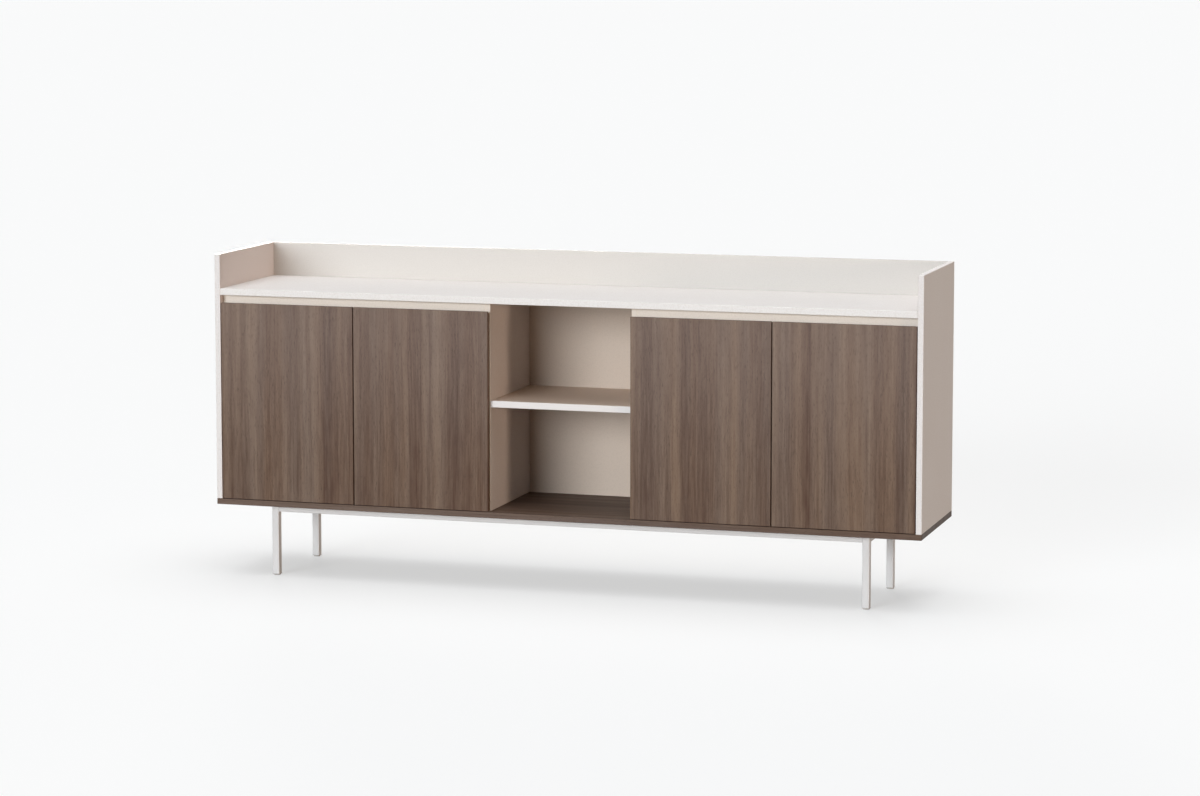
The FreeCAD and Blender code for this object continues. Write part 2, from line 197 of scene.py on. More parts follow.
@dataclass(frozen=True)
class MelamineBoard(Finish):
    """Chipboard faced with matt melamine, pressed with a fine pearl texture.

    The press leaves shallow dents that hold a little shade and keep the sheen soft. Real ones are 0.7 mm
    wide, too fine to show, so they are drawn four times coarser. The printed paper under the resin is
    never quite one tone. A board may have the faces that are turned one way in a second colour, as on a
    banded front edge or an inner face.
    """

    roughness: float = 0.5
    shade: str = "#CFC4B8"
    second: str = ""
    second_way: Vec3 = (0.0, -1.0, 0.0)
    cloud_mm: float = 260.0
    cloud_detail: float = 3.0
    cloud_share: float = 0.07
    pearl_mm: float = 2.8
    pearl_detail: float = 2.0
    dent_range: Vec2 = (0.45, 0.7)
    dent_share: float = 0.3
    dent_depth_mm: float = 0.2
    dent_strength: float = 0.4
    gloss_swing: float = 0.04
    specular: float = 0.3

    def build(self) -> bpy.types.Material:
        """Make the material with its pearl texture and faint clouding.

        Returns:
            The material.
        """
        material, tree, skin, place = self.start()
        skin.inputs["Specular IOR Level"].default_value = self.specular
        cloud = add_node(tree, "ShaderNodeTexNoise",
                         {"Vector": place, "Scale": 1 / (self.cloud_mm * MM), "Detail": self.cloud_detail})
        pearl = add_node(tree, "ShaderNodeTexNoise",
                         {"Vector": place, "Scale": 1 / (self.pearl_mm * MM), "Detail": self.pearl_detail})
        low, high = self.dent_range
        dents = add_node(tree, "ShaderNodeMapRange",
                         {"Value": pearl.outputs[0], "From Min": low, "From Max": high,
                          "To Max": self.dent_share})
        shaded = add_node(tree, "ShaderNodeMath",
                          {0: cloud.outputs[0], 1: self.cloud_share, 2: dents.outputs[0]},
                          operation="MULTIPLY_ADD")
        tone = add_node(tree, "ShaderNodeMix",
                        {"Factor": shaded.outputs[0], "A": linear(self.colour),
                         "B": linear(self.shade)}, data_type="RGBA")
        if self.second:
            turned_so = faces_turned(tree, self.second_way)
            tone = add_node(tree, "ShaderNodeMix",
                            {"Factor": turned_so, "A": tone.outputs["Result"],
                             "B": linear(self.second)}, data_type="RGBA")
        tree.links.new(tone.outputs["Result"], skin.inputs["Base Color"])
        relief = add_node(tree, "ShaderNodeBump",
                          {"Height": pearl.outputs[0], "Strength": self.dent_strength,
                           "Distance": self.dent_depth_mm * MM})
        tree.links.new(relief.outputs[0], skin.inputs["Normal"])
        gloss = add_node(tree, "ShaderNodeMapRange",
                         {"Value": cloud.outputs[0], "To Min": self.roughness - self.gloss_swing,
                          "To Max": self.roughness + self.gloss_swing})
        tree.links.new(gloss.outputs[0], skin.inputs["Roughness"])
        return material


@dataclass(frozen=True)
class Marks:
    """One layer of a wood's figure: its size in millimetres, its detail and its share of the tone."""

    across: float
    along: float
    detail: float
    share: float = 1.0


@dataclass(frozen=True)
class WoodBoard(Finish):
    """Board faced with straight-grained veneer, matt, with its pores pressed in.

    Broad soft bands of early and late wood run the whole height, with shorter flecks and fine fibres over
    them and short dark pores; the bands sway a little, as sliced wood does. A painted sheen makes the upper
    end a little paler and greyer, and the ends of a board, across the grain, may be drawn darker. The fibres
    are drawn a few millimetres wide, coarser than real ones, so that they show from across the room.
    """

    roughness: float = 0.55
    light: str = "#7F6956"
    pore: str = "#2E211A"
    warm: str = "#FFFBF5"
    cool: str = "#F5F8FE"
    ends: str = ""
    grain: Grain = Grain.UPRIGHT
    offset_mm: Vec3 = (0.0, 0.0, 0.0)
    drift: Marks = Marks(160.0, 420.0, 2.0)
    leaves: Marks = Marks(110.0, 3200.0, 1.0, 0.26)
    bands: Marks = Marks(26.0, 2600.0, 3.0, 0.40)
    flecks: Marks = Marks(6.5, 80.0, 1.0, 0.18)
    fibres: Marks = Marks(3.6, 300.0, 2.0, 0.16)
    pores: Marks = Marks(1.3, 14.0, 1.0, 0.4)
    hues: Marks = Marks(40.0, 1300.0, 1.0)
    tone_range: Vec2 = (0.34, 0.66)
    hue_range: Vec2 = (0.35, 0.65)
    pore_range: Vec2 = (0.56, 0.74)
    sway_mm: float = 14.0
    # A painted sheen: how much paler and greyer the veneer is painted towards its top, in which tone, and
    # between which heights.
    painted_sheen: float = 0.0
    painted_sheen_tone: str = "#C4B2A9"
    painted_sheen_range_mm: Vec2 = (260.0, 800.0)
    relief_mm: float = 0.12
    relief_strength: float = 0.3
    gloss_swing: float = 0.06
    specular: float = 0.22

    def along_grain(self, along: float, across: float) -> Vec3:
        """Give a vector with one value along the grain and another on the two axes across it.

        Args:
            along: The value along the grain.
            across: The value on the other two axes.

        Returns:
            The vector.
        """
        values = [across] * 3
        values[self.grain.value] = along
        return (values[0], values[1], values[2])

    def noise(self, tree: bpy.types.NodeTree, place: bpy.types.NodeSocket, marks: Marks) -> bpy.types.Node:
        """Draw the noise of one layer, stretched along the grain.

        Args:
            tree: The material's node tree.
            place: The place on the board.
            marks: The layer.

        Returns:
            The noise node.
        """
        stretch = self.along_grain(1 / (marks.along * MM), 1 / (marks.across * MM))
        cells = add_node(tree, "ShaderNodeMapping", {"Vector": place, "Scale": stretch})
        return add_node(tree, "ShaderNodeTexNoise",
                        {"Vector": cells.outputs[0], "Scale": 1.0, "Detail": marks.detail})

    def swayed(self, tree: bpy.types.NodeTree, place: bpy.types.NodeSocket) -> bpy.types.NodeSocket:
        """Move to this board's own run of veneer, and let the grain sway.

        Args:
            tree: The material's node tree.
            place: The place on the piece.

        Returns:
            The place in the veneer.
        """
        moved = add_node(tree, "ShaderNodeMapping",
                         {"Vector": place, "Location": tuple(step * MM for step in self.offset_mm)})
        drift = self.noise(tree, moved.outputs[0], self.drift)
        # Noise lies round 0.5, so that much is taken off for the grain to sway both ways.
        sway = add_node(tree, "ShaderNodeVectorMath", {0: drift.outputs["Color"], 1: (0.5, 0.5, 0.5)},
                        operation="SUBTRACT")
        swing = add_node(tree, "ShaderNodeVectorMath", {0: sway.outputs[0], "Scale": self.sway_mm * MM},
                         operation="SCALE")
        return add_node(tree, "ShaderNodeVectorMath", {0: moved.outputs[0], 1: swing.outputs[0]},
                        operation="ADD").outputs[0]

    def figure(self, tree: bpy.types.NodeTree, veneer: bpy.types.NodeSocket) -> bpy.types.NodeSocket:
        """Add up the bands, flecks and fibres.

        Args:
            tree: The material's node tree.
            veneer: The place in the veneer.

        Returns:
            0 where the wood is darkest, up to 1 where it is lightest.
        """
        low, high = self.tone_range
        total = None
        for marks in (self.leaves, self.bands, self.flecks, self.fibres):
            cells = self.noise(tree, veneer, marks).outputs[0]
            layer = add_node(tree, "ShaderNodeMapRange",
                             {"Value": cells, "From Min": low, "From Max": high, "To Max": marks.share})
            if total is not None:
                layer = add_node(tree, "ShaderNodeMath", {0: total, 1: layer.outputs[0]})
            total = layer.outputs[0]
        return total

    def build(self) -> bpy.types.Material:
        """Make the material with its bands, flecks, fibres and pores.

        Returns:
            The material.
        """
        material, tree, skin, place = self.start()
        skin.inputs["Specular IOR Level"].default_value = self.specular
        veneer = self.swayed(tree, place)
        tone = self.figure(tree, veneer)
        wood = add_node(tree, "ShaderNodeMix",
                        {"Factor": tone, "A": linear(self.colour), "B": linear(self.light)},
                        data_type="RGBA")
        low, high = self.hue_range
        streaks = self.noise(tree, veneer, self.hues).outputs[0]
        hue = add_node(tree, "ShaderNodeMapRange", {"Value": streaks, "From Min": low, "From Max": high})
        tint = add_node(tree, "ShaderNodeMix",
                        {"Factor": hue.outputs[0], "A": linear(self.warm),
                         "B": linear(self.cool)}, data_type="RGBA")
        wood = add_node(tree, "ShaderNodeMix",
                        {"Factor": 1.0, "A": wood.outputs["Result"],
                         "B": tint.outputs["Result"]}, data_type="RGBA", blend_type="MULTIPLY")
        # Painted sheen: the veneer turns paler and greyer smoothly from the lower height up to the upper
        # one.
        low, high = self.painted_sheen_range_mm
        height = add_node(tree, "ShaderNodeSeparateXYZ", {0: place}).outputs["Z"]
        painted_sheen_mask = add_node(tree, "ShaderNodeMapRange",
                         {"Value": height, "From Min": low * MM, "From Max": high * MM,
                          "To Max": self.painted_sheen}, interpolation_type="SMOOTHSTEP")
        wood = add_node(tree, "ShaderNodeMix",
                        {"Factor": painted_sheen_mask.outputs[0], "A": wood.outputs["Result"],
                         "B": linear(self.painted_sheen_tone)}, data_type="RGBA")
        low, high = self.pore_range
        dashes = self.noise(tree, veneer, self.pores).outputs[0]
        pores = add_node(tree, "ShaderNodeMapRange",
                         {"Value": dashes, "From Min": low, "From Max": high, "To Max": self.pores.share})
        wood = add_node(tree, "ShaderNodeMix",
                        {"Factor": pores.outputs[0], "A": wood.outputs["Result"],
                         "B": linear(self.pore)}, data_type="RGBA")
        # The faces across the grain, at the board's ends, are drawn in a darker tone.
        if self.ends:
            grain_end_faces = faces_turned(tree, self.along_grain(1.0, 0.0), both_ways=True)
            wood = add_node(tree, "ShaderNodeMix",
                            {"Factor": grain_end_faces, "A": wood.outputs["Result"],
                             "B": linear(self.ends)}, data_type="RGBA", blend_type="MULTIPLY")
        tree.links.new(wood.outputs["Result"], skin.inputs["Base Color"])
        height = add_node(tree, "ShaderNodeMath", {0: tone, 1: pores.outputs[0]}, operation="SUBTRACT")
        relief = add_node(tree, "ShaderNodeBump",
                          {"Height": height.outputs[0], "Strength": self.relief_strength,
                           "Distance": self.relief_mm * MM})
        tree.links.new(relief.outputs[0], skin.inputs["Normal"])
        gloss = add_node(tree, "ShaderNodeMapRange",
                         {"Value": tone, "To Min": self.roughness + self.gloss_swing,
                          "To Max": self.roughness - self.gloss_swing})
        tree.links.new(gloss.outputs[0], skin.inputs["Roughness"])
        return material


@dataclass(frozen=True)
class PowderCoat(Finish):
    """Steel tube with a baked powder coat, whose fine orange peel softens each highlight.

    The peel is drawn at 3 mm, twice as coarse as the real one, so that it shows on a slim leg.
    """

    roughness: float = 0.42
    coat: float = 0.12
    peel_mm: float = 3.0
    peel_detail: float = 2.0
    peel_depth_mm: float = 0.03
    peel_strength: float = 0.3
    gloss_swing: float = 0.05

    def build(self) -> bpy.types.Material:
        """Make the material with its orange peel.

        Returns:
            The material.
        """
        material, tree, skin, place = self.start()
        skin.inputs["Coat Weight"].default_value = self.coat
        skin.inputs["Coat Roughness"].default_value = self.roughness / 2
        peel = add_node(tree, "ShaderNodeTexNoise",
                        {"Vector": place, "Scale": 1 / (self.peel_mm * MM), "Detail": self.peel_detail})
        relief = add_node(tree, "ShaderNodeBump",
                          {"Height": peel.outputs[0], "Strength": self.peel_strength,
                           "Distance": self.peel_depth_mm * MM})
        tree.links.new(relief.outputs[0], skin.inputs["Normal"])
        film = add_node(tree, "ShaderNodeMapRange",
                        {"Value": peel.outputs[0], "To Min": self.roughness - self.gloss_swing,
                         "To Max": self.roughness + self.gloss_swing})
        tree.links.new(film.outputs[0], skin.inputs["Roughness"])
        return material


@dataclass(frozen=True)
class PlatedSteel(Finish):
    """Pressed steel, tumbled and plated: fine random scratches under a thin bright layer.

    Real scratches are a tenth of a millimetre wide. They are drawn ten times coarser, so that they show.
    """

    scratch_mm: float = 1.0
    scratch_detail: float = 4.0
    scratch_raggedness: float = 0.7
    scratch_range: Vec2 = (0.3, 0.7)
    scratch_depth_mm: float = 0.02
    scratch_strength: float = 0.15
    polish: float = 0.08
    dulling: float = 0.12

    def build(self) -> bpy.types.Material:
        """Make the material with its tumbling marks.

        Returns:
            The material.
        """
        material, tree, skin, place = self.start()
        skin.inputs["Metallic"].default_value = 1.0
        scratches = add_node(tree, "ShaderNodeTexNoise",
                             {"Vector": place, "Scale": 1 / (self.scratch_mm * MM),
                              "Detail": self.scratch_detail, "Roughness": self.scratch_raggedness})
        low, high = self.scratch_range
        gloss = add_node(tree, "ShaderNodeMapRange",
                         {"Value": scratches.outputs[0], "From Min": low, "From Max": high,
                          "To Min": self.roughness - self.polish, "To Max": self.roughness + self.dulling})
        tree.links.new(gloss.outputs[0], skin.inputs["Roughness"])
        relief = add_node(tree, "ShaderNodeBump",
                          {"Height": scratches.outputs[0], "Strength": self.scratch_strength,
                           "Distance": self.scratch_depth_mm * MM})
        tree.links.new(relief.outputs[0], skin.inputs["Normal"])
        return material


@dataclass(frozen=True)
class MouldedPlastic(Finish):
    """Moulded nylon or clear polyurethane, whose mould's spark-eroded grain takes off the shine.

    The real grain is a tenth of a millimetre. It is drawn six times coarser, so that it shows.
    """

    clear: float = 0.0
    milkiness: float = 0.05
    milk_depth_mm: float = 1.0
    grain_mm: float = 0.6
    grain_detail: float = 2.0
    grain_depth_mm: float = 0.03
    grain_strength: float = 0.2

    def build(self) -> bpy.types.Material:
        """Make the material with its mould grain.

        Returns:
            The material.
        """
        material, tree, skin, place = self.start()
        skin.inputs["Transmission Weight"].default_value = self.clear
        skin.inputs["Subsurface Weight"].default_value = self.milkiness
        skin.inputs["Subsurface Scale"].default_value = self.milk_depth_mm * MM
        grain = add_node(tree, "ShaderNodeTexNoise",
                         {"Vector": place, "Scale": 1 / (self.grain_mm * MM), "Detail": self.grain_detail})
        relief = add_node(tree, "ShaderNodeBump",
                          {"Height": grain.outputs[0], "Strength": self.grain_strength,
                           "Distance": self.grain_depth_mm * MM})
        tree.links.new(relief.outputs[0], skin.inputs["Normal"])
        return material


# Melamine-faced boards: even, matt and pale outside, beige within, with banded front edges.
TOP_BOARD = MelamineBoard("melamine_pale_top", "#E9E4DF")
LEFT_BOARD = MelamineBoard("melamine_pale_left", "#E5DFDB", second="#D3C7C1", second_way=(1.0, 0.0, 0.0))
RIGHT_BOARD = MelamineBoard("melamine_pale_right", "#E5DFDB", second="#D3C7C1", second_way=(-1.0, 0.0, 0.0))
BACK_BOARD = MelamineBoard("melamine_pale_back", "#CBC5BE", shade="#BAB3AA")
BEIGE_BOARD = MelamineBoard("melamine_beige", "#C6B4A3", shade="#B4A292")
SHELF_BOARD = MelamineBoard("melamine_beige_pale_edge", "#D0BBA9", shade="#BAA390", second="#E4DED9")
DIVIDER_BOARD = MelamineBoard("melamine_beige_cream_edge", "#CBBFB8", shade="#B6A496", second="#DFD2C4")
CREAM_BOARD = MelamineBoard("melamine_cream", "#E0D4C7", shade="#C9BBA8")

# Walnut veneer under a matt lacquer: warm brown, with the grain upright on the doors, each with its own
# run of veneer, and lengthwise on the bottom board.
BOTTOM_WALNUT = WoodBoard("walnut_bottom", "#4E392C", light="#705D50", ends="#C2BDBA",
                          grain=Grain.LENGTHWISE, offset_mm=(130.0, 40.0, 9.0))
DOOR_OFFSETS_MM = {"left_outer": (0.0, 0.0, 310.0), "left_inner": (371.0, 13.0, 120.0),
                   "right_inner": (815.0, 29.0, 540.0), "right_outer": (1290.0, 47.0, 330.0)}
# Every door carries the painted sheen, paler and greyer towards its top.
DOOR_WALNUT = {door: WoodBoard("walnut_" + door, "#412516", offset_mm=offset, painted_sheen=0.125)
               for door, offset in DOOR_OFFSETS_MM.items()}

# Turned beech, plain and pale, for the dowels.
BEECH = WoodBoard("beech_dowel", "#B48A5E", roughness=0.6, light="#D9B68C", pore="#8E6A45")

# A baked coat on the tubes: pale, with a soft satin highlight.
FRAME_COAT = PowderCoat("powder_coat_pale", "#D9D5D2")

# Warm bright nickel on the pressed hinges, cooler and duller zinc on pins and screws.
NICKEL = PlatedSteel("nickel_plate", "#C9C4BB", roughness=0.3)
ZINC = PlatedSteel("zinc_plate", "#B9BCBE", roughness=0.36)

# Opaque nylon for plugs and glides, and a clear soft gel for the door stops.
FOOT_NYLON = MouldedPlastic("nylon_foot", "#B8B2AA", roughness=0.5)
BUMPER_GEL = MouldedPlastic("bumper_gel", "#EDEBE6", roughness=0.28, clear=0.5)


def dress(node: str, finish: Finish) -> None:
    """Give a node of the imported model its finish.

    Args:
        node: The node's name.
        finish: The finish.
    """
    materials = frame["nodes"][node].data.materials
    materials.clear()
    materials.append(finish.material())
    log.info("%s finished in %s", node, finish.name)


def solids_of(node: str) -> list[tuple[Vector, Vector]]:
    """Find the separate solids of a node.

    Args:
        node: The node's name.

    Returns:
        The low and the high corner of each solid, from the lowest and leftmost on.
    """
    work = bmesh.new()
    work.from_mesh(frame["nodes"][node].data)
    bmesh.ops.remove_doubles(work, verts=work.verts, dist=WELD)
    left = set(work.verts)
    boxes = []
    while left:
        queue = [left.pop()]
        island = list(queue)
        while queue:
            here = queue.pop()
            near = {edge.other_vert(here) for edge in here.link_edges} & left
            left -= near
            queue += near
            island += near
        low = Vector(min(vert.co[axis] for vert in island) for axis in range(3))
        high = Vector(max(vert.co[axis] for vert in island) for axis in range(3))
        boxes.append((low, high))
    work.free()
    return sorted(boxes, key=lambda box: tuple(round(box[0][axis], DECIMALS) for axis in (2, 0, 1)))


def make_piece(name: str, body: str, finish: Finish,
               work: bmesh.types.BMesh) -> bpy.types.Object:
    """Turn a finished bmesh into a piece that rides on a body.

    Args:
        name: The piece's name.
        body: The body it moves with.
        finish: Its finish.
        work: The bmesh, which is freed.

    Returns:
        The new object.
    """
    mesh = bpy.data.meshes.new(name)
    work.to_mesh(mesh)
    work.free()
    mesh.materials.append(finish.material())
    piece = bpy.data.objects.new(name, mesh)
    bpy.context.scene.collection.objects.link(piece)
    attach(piece, body)
    log.info("%s rides on %s", name, body)
    return piece


def soften(work: bmesh.types.BMesh, crease_deg: float = CREASE_DEG) -> None:
    """Shade a mesh smooth, with the edges sharper than a limit left crisp.

    Args:
        work: The mesh.
        crease_deg: The limit.
    """
    for face in work.faces:
        face.smooth = True
    for edge in work.edges:
        edge.smooth = len(edge.link_faces) == 2 and edge.calc_face_angle(0.0) < math.radians(crease_deg)


def turned(profile: list[Vec2], steps: int) -> bmesh.types.BMesh:
    """Spin a profile round Z.

    Args:
        profile: Radius and height of each point, from axis to axis, in metres.
        steps: The number of steps of the full turn.

    Returns:
        The closed, outward-facing shape, which its user frees.
    """
    work = bmesh.new()
    corners = [work.verts.new((radius, 0.0, height)) for radius, height in profile]
    edges = [work.edges.new(pair) for pair in zip(corners, corners[1:])]
    bmesh.ops.spin(work, geom=corners + edges, cent=(0, 0, 0), axis=(0, 0, 1), dvec=(0, 0, 0),
                   angle=2 * math.pi, steps=steps, use_merge=True, use_duplicate=False)
    bmesh.ops.remove_doubles(work, verts=work.verts, dist=WELD)
    bmesh.ops.recalc_face_normals(work, faces=work.faces)
    soften(work)
    return work


def rounded_rod(radius: float, length: float, ease: float, steps: int) -> bmesh.types.BMesh:
    """Make a rod from the origin up along Z, its two ends eased.

    Args:
        radius: The rod's radius, in metres.
        length: Its length, in metres.
        ease: How far its ends are eased, in metres.
        steps: The number of steps round it.

    Returns:
        The rod, which its user frees.
    """
    profile = [(0.0, 0.0), (radius - ease, 0.0), (radius, ease), (radius, length - ease),
               (radius - ease, length), (0.0, length)]
    return turned(profile, steps)


def gather(parts: list[Placed]) -> bmesh.types.BMesh:
    """Join several shapes, each put in its place.

    Args:
        parts: Each shape with its placing matrix.

    Returns:
        One bmesh; the shapes are freed.
    """
    work = bmesh.new()
    for shape, place in parts:
        store = bpy.data.meshes.new("store")
        shape.to_mesh(store)
        shape.free()
        store.transform(place)
        work.from_mesh(store)
        bpy.data.meshes.remove(store)
    return work


def facing(point: Vector, direction: Vec3) -> Matrix:
    """Give the matrix that puts a shape's foot at a point and its +Z along a direction."""
    turn = Vector(direction).to_track_quat("Z", "Y").to_matrix().to_4x4()
    return Matrix.Translation(point) @ turn


@dataclass
class ScrewHead:
    """The head of a cross-recessed screw, standing on its seat. Sizes are in millimetres."""

    radius: float
    height: float
    recess_reach: float
    recess_half: float
    recess_depth: float
    recess_taper: float = 0.7
    # Rise and radius of each ring of the dome, as shares of the head's.
    dome: tuple[Vec2, ...] = ((0.55, 1.0), (0.85, 0.9), (1.0, 0.72))
    sides: int = 12
    crease_deg: float = 35.0

    def raise_rim(self, work: bmesh.types.BMesh) -> list[bmesh.types.BMEdge]:
        """Draw the round seat and raise the dome's rings from it.

        Args:
            work: The empty mesh.

        Returns:
            The edges of the top ring.
        """
        bmesh.ops.create_circle(work, cap_ends=False, segments=self.sides, radius=self.radius * MM)
        ring = list(work.edges)
        for rise, share in self.dome:
            raised = bmesh.ops.extrude_edge_only(work, edges=ring)["geom"]
            ring = [item for item in raised if isinstance(item, bmesh.types.BMEdge)]
            for vert in (item for item in raised if isinstance(item, bmesh.types.BMVert)):
                flat = Vector((vert.co.x, vert.co.y, 0.0)).normalized() * (self.radius * share * MM)
                vert.co = (flat.x, flat.y, self.height * rise * MM)
        return ring

    def press_cross(self, work: bmesh.types.BMesh, grid: list[bmesh.types.BMVert]) -> None:
        """Press the tapered cross into the top.

        Args:
            work: The mesh.
            grid: The points of the top's grid, three fields by three.
        """
        cross = []
        for face in work.faces:
            middle = face.calc_center_median()
            in_cross = min(abs(middle.x), abs(middle.y)) < self.recess_half * MM
            if in_cross and all(vert in grid for vert in face.verts):
                cross.append(face)
        sunk = bmesh.ops.extrude_face_region(work, geom=cross)["geom"]
        bmesh.ops.delete(work, geom=cross, context="FACES_ONLY")
        floor = [item for item in sunk if isinstance(item, bmesh.types.BMVert)]
        bmesh.ops.translate(work, verts=floor, vec=(0, 0, -self.recess_depth * MM))
        bmesh.ops.scale(work, verts=floor, vec=(self.recess_taper, self.recess_taper, 1.0))

    def shape(self) -> bmesh.types.BMesh:
        """Make the head: a domed rim bridged to a small grid, whose cross is pressed in.

        Returns:
            The head, which its user frees.
        """
        work = bmesh.new()
        ring = self.raise_rim(work)
        seat = [edge for edge in work.edges if all(vert.co.z == 0.0 for vert in edge.verts)]
        grid = bmesh.ops.create_grid(work, x_segments=3, y_segments=3, size=self.recess_reach * MM)["verts"]
        bmesh.ops.translate(work, verts=grid, vec=(0, 0, self.height * MM))
        # The grid's inner lines stand at a third of its reach, and move in to the cross's width.
        for axis in range(2):
            inner = [vert for vert in grid if abs(vert.co[axis]) < self.recess_reach / 2 * MM]
            scale = [1.0, 1.0, 1.0]
            scale[axis] = self.recess_half / (self.recess_reach / 3)
            bmesh.ops.scale(work, verts=inner, vec=scale)
        border = [edge for edge in work.edges
                  if edge.is_boundary and all(vert in grid for vert in edge.verts)]
        bmesh.ops.bridge_loops(work, edges=ring + border)
        self.press_cross(work, grid)
        bmesh.ops.contextual_create(work, geom=seat)
        bmesh.ops.recalc_face_normals(work, faces=work.faces)
        soften(work, self.crease_deg)
        return work


def merged_copy(node: str) -> bmesh.types.BMesh:
    """Copy a node's mesh with its loose triangles merged into whole flat faces.

    Args:
        node: The node's name.

    Returns:
        The copy, which its user frees.
    """
    work = bmesh.new()
    work.from_mesh(frame["nodes"][node].data)
    bmesh.ops.remove_doubles(work, verts=work.verts, dist=WELD)
    bmesh.ops.dissolve_limit(work, angle_limit=math.radians(FLAT_DEG), verts=work.verts, edges=work.edges)
    return work


def smooth_copy(node: str, name: str, finish: Finish) -> None:
    """Stand a smoothly shaded copy in for a node whose round faces the model gives as flats.

    Args:
        node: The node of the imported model.
        name: The new piece's name.
        finish: Its finish.
    """
    work = merged_copy(node)
    soften(work)
    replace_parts(make_piece(name, frame["nodes"][node]["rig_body"], finish, work), node)


@dataclass
class Carcass:
    """The boards of the cabinet, the loose shelves and their pins. Sizes are in millimetres."""

    pin_ease: float = 0.5
    round_steps: int = 24

    def dress_boards(self) -> None:
        """Give each board its facing, and the dowels theirs."""
        facings = {
            LEFT_BOARD: ("side_panel_left",),
            RIGHT_BOARD: ("side_panel_right",),
            TOP_BOARD: ("worktop",),
            SHELF_BOARD: ("niche_shelf", "shelf_left", "shelf_right"),
            DIVIDER_BOARD: ("divider_left", "divider_right"),
            BEIGE_BOARD: ("inner_back_left", "inner_back_middle", "inner_back_right"),
            BACK_BOARD: ("rear_panel",),
            CREAM_BOARD: ("finger_rail_left", "finger_rail_right"),
            BOTTOM_WALNUT: ("bottom_panel",),
            BEECH: ("carcass_dowels",),
        }
        for finish, nodes in facings.items():
            for node in nodes:
                dress(node, finish)

    def turn_pins(self) -> None:
        """Stand round steel pins in for the model's faceted ones."""
        parts = []
        for low, high in solids_of("shelf_pins"):
            radius = (high.z - low.z) / 2
            pin = rounded_rod(radius, high.x - low.x, self.pin_ease * MM, self.round_steps)
            foot = Vector((low.x, (low.y + high.y) / 2, (low.z + high.z) / 2))
            parts.append((pin, facing(foot, (1, 0, 0))))
        pins = make_piece("shelf_pins_turned", "cabinet", ZINC, gather(parts))
        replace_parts(pins, "shelf_pins")

    def build(self) -> None:
        """Dress the carcass and make its small pieces."""
        self.dress_boards()
        self.turn_pins()


@dataclass
class Doors:
    """The four doors and the soft stops behind their free corners."""

    # Radius and rise of each ring of a stop, as shares of the whole.
    dome: tuple[Vec2, ...] = ((1.0, 0.0), (1.0, 0.3), (0.92, 0.62), (0.66, 0.88), (0.3, 1.0))
    round_steps: int = 24

    def dress_doors(self) -> None:
        """Give each door its own run of veneer."""
        for door, walnut in DOOR_WALNUT.items():
            dress("door_" + door, walnut)

    def mould_bumpers(self) -> None:
        """Make the domed clear stops on the finger rails."""
        parts = []
        for low, high in solids_of("door_bumpers"):
            radius = (high.x - low.x) / 2
            rise = high.y - low.y
            rings = [(share * radius, height * rise) for share, height in self.dome]
            foot = Vector(((low.x + high.x) / 2, high.y, (low.z + high.z) / 2))
            stop = turned([(0.0, 0.0), *rings, (0.0, rise)], self.round_steps)
            parts.append((stop, facing(foot, (0, -1, 0))))
        stops = make_piece("bumper_domes", "cabinet", BUMPER_GEL, gather(parts))
        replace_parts(stops, "door_bumpers")

    def build(self) -> None:
        """Dress the doors and make their stops."""
        self.dress_doors()
        self.mould_bumpers()


